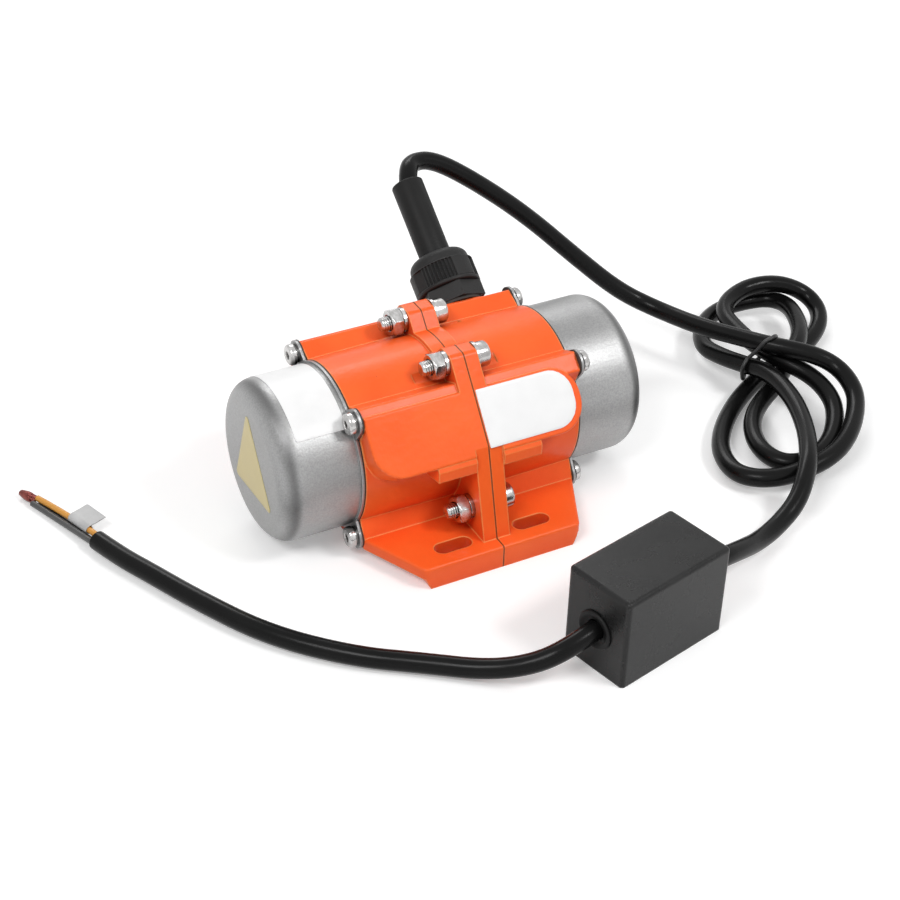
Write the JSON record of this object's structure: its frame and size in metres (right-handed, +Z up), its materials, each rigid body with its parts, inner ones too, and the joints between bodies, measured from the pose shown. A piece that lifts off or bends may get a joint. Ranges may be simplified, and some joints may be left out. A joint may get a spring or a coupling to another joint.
{
  "type": "vibration motor",
  "caption": "Small foot-mounted vibration motor with capped eccentric weights at both shaft ends, a cable gland and a lead with an in-line capacitor box.",
  "frame": {"origin": "in the underside of the feet, at the centre of the four foot slots, below the shaft, in the plane where the two housing halves meet", "axes": "+X along the shaft towards the end nearer the gland, +Y to the side that carries the cable gland, +Z up"},
  "size_m": [0.3731, 0.2334, 0.1003],
  "materials": {
    "orange_enamel": "glossy sprayed enamel over cast aluminium",
    "drawn_steel": "satin drawn steel",
    "zinc": "bright zinc plate",
    "bearing_steel": "ground bearing steel",
    "shaft_steel": "ground steel",
    "weight_iron": "machined cast iron",
    "lamination": "stacked electrical steel",
    "winding": "varnished enamelled wire",
    "rotor_aluminium": "die-cast aluminium",
    "gasket_rubber": "black sheet rubber",
    "gland_plastic": "black moulded nylon",
    "sleeve_rubber": "matt black rubber",
    "cord_jacket": "glossy black PVC",
    "box_plastic": "dark grey moulded plastic",
    "potting": "black cast resin",
    "capacitor_case": "grey moulded case",
    "core_yellow": "yellow PVC",
    "core_grey": "dark grey PVC",
    "copper": "bare twisted copper",
    "tag_paper": "pale card",
    "tie_plastic": "black plastic-coated wire"
  },
  "bodies": {
    "root": {"bearing_outer_ring_left": "bearing_steel", "bearing_outer_ring_right": "bearing_steel", "box_potting": "potting", "cable_sleeve": "sleeve_rubber", "cap_gasket_left": "gasket_rubber", "cap_gasket_right": "gasket_rubber", "cap_screw_washers_left": "zinc", "cap_screw_washers_right": "zinc", "cap_screws_left": "zinc", "cap_screws_right": "zinc", "capacitor": "capacitor_case", "capacitor_box": "box_plastic", "copper_end": "copper", "core_grey": "core_grey", "core_yellow": "core_yellow", "end_cap_left": "drawn_steel", "end_cap_right": "drawn_steel", "flange_bolts": "zinc", "flange_nuts": "zinc", "flange_spring_washers": "zinc", "flange_washers": "zinc", "gland_body": "gland_plastic", "gland_nut": "gland_plastic", "gland_seal": "sleeve_rubber", "gland_washer": "gasket_rubber", "hank_tie": "tie_plastic", "housing_left": "orange_enamel", "housing_right": "orange_enamel", "motor_cord_arch": "cord_jacket", "motor_cord_box_run": "cord_jacket", "motor_cord_hank": "cord_jacket", "motor_cord_in_gland": "cord_jacket", "stator_core": "lamination", "stator_windings": "winding", "supply_cord": "cord_jacket", "wire_tag": "tag_paper"},
    "rotor": {"shaft": "shaft_steel", "rotor_core": "lamination", "rotor_end_rings": "rotor_aluminium", "weight_spacers": "shaft_steel", "inner_weight_screws": "zinc", "shaft_retaining_rings": "bearing_steel", "bearing_inner_ring_right": "bearing_steel", "bearing_inner_ring_left": "bearing_steel", "inner_weight_right": "weight_iron", "inner_weight_left": "weight_iron"},
    "ball_cage_right": {"bearing_balls_right": "bearing_steel"},
    "outer_weight_right": {"outer_weight_right": "weight_iron", "outer_weight_screw_right": "zinc"},
    "ball_cage_left": {"bearing_balls_left": "bearing_steel"},
    "outer_weight_left": {"outer_weight_left": "weight_iron", "outer_weight_screw_left": "zinc"}
  },
  "joints": [
    {"name": "rotor_spin", "type": "hinge", "parent": "root", "child": "rotor", "pos_m": [0, 0, 0.035], "axis": [1, 0, 0], "continuous": true},
    {"name": "ball_cage_right_spin", "type": "hinge", "parent": "root", "child": "ball_cage_right", "pos_m": [0, 0, 0.035], "axis": [1, 0, 0], "continuous": true},
    {"name": "ball_cage_left_spin", "type": "hinge", "parent": "root", "child": "ball_cage_left", "pos_m": [0, 0, 0.035], "axis": [1, 0, 0], "continuous": true},
    {"name": "outer_weight_right_setting", "type": "hinge", "parent": "rotor", "child": "outer_weight_right", "pos_m": [0, 0, 0.035], "axis": [1, 0, 0], "range_deg": [0, 180]},
    {"name": "outer_weight_left_setting", "type": "hinge", "parent": "rotor", "child": "outer_weight_left", "pos_m": [0, 0, 0.035], "axis": [1, 0, 0], "range_deg": [0, 180]}
  ],
  "couplings": [
    {"joint": "ball_cage_right_spin", "follows": "rotor_spin", "ratio": 0.3682},
    {"joint": "ball_cage_left_spin", "follows": "rotor_spin", "ratio": 0.3682}
  ]
}
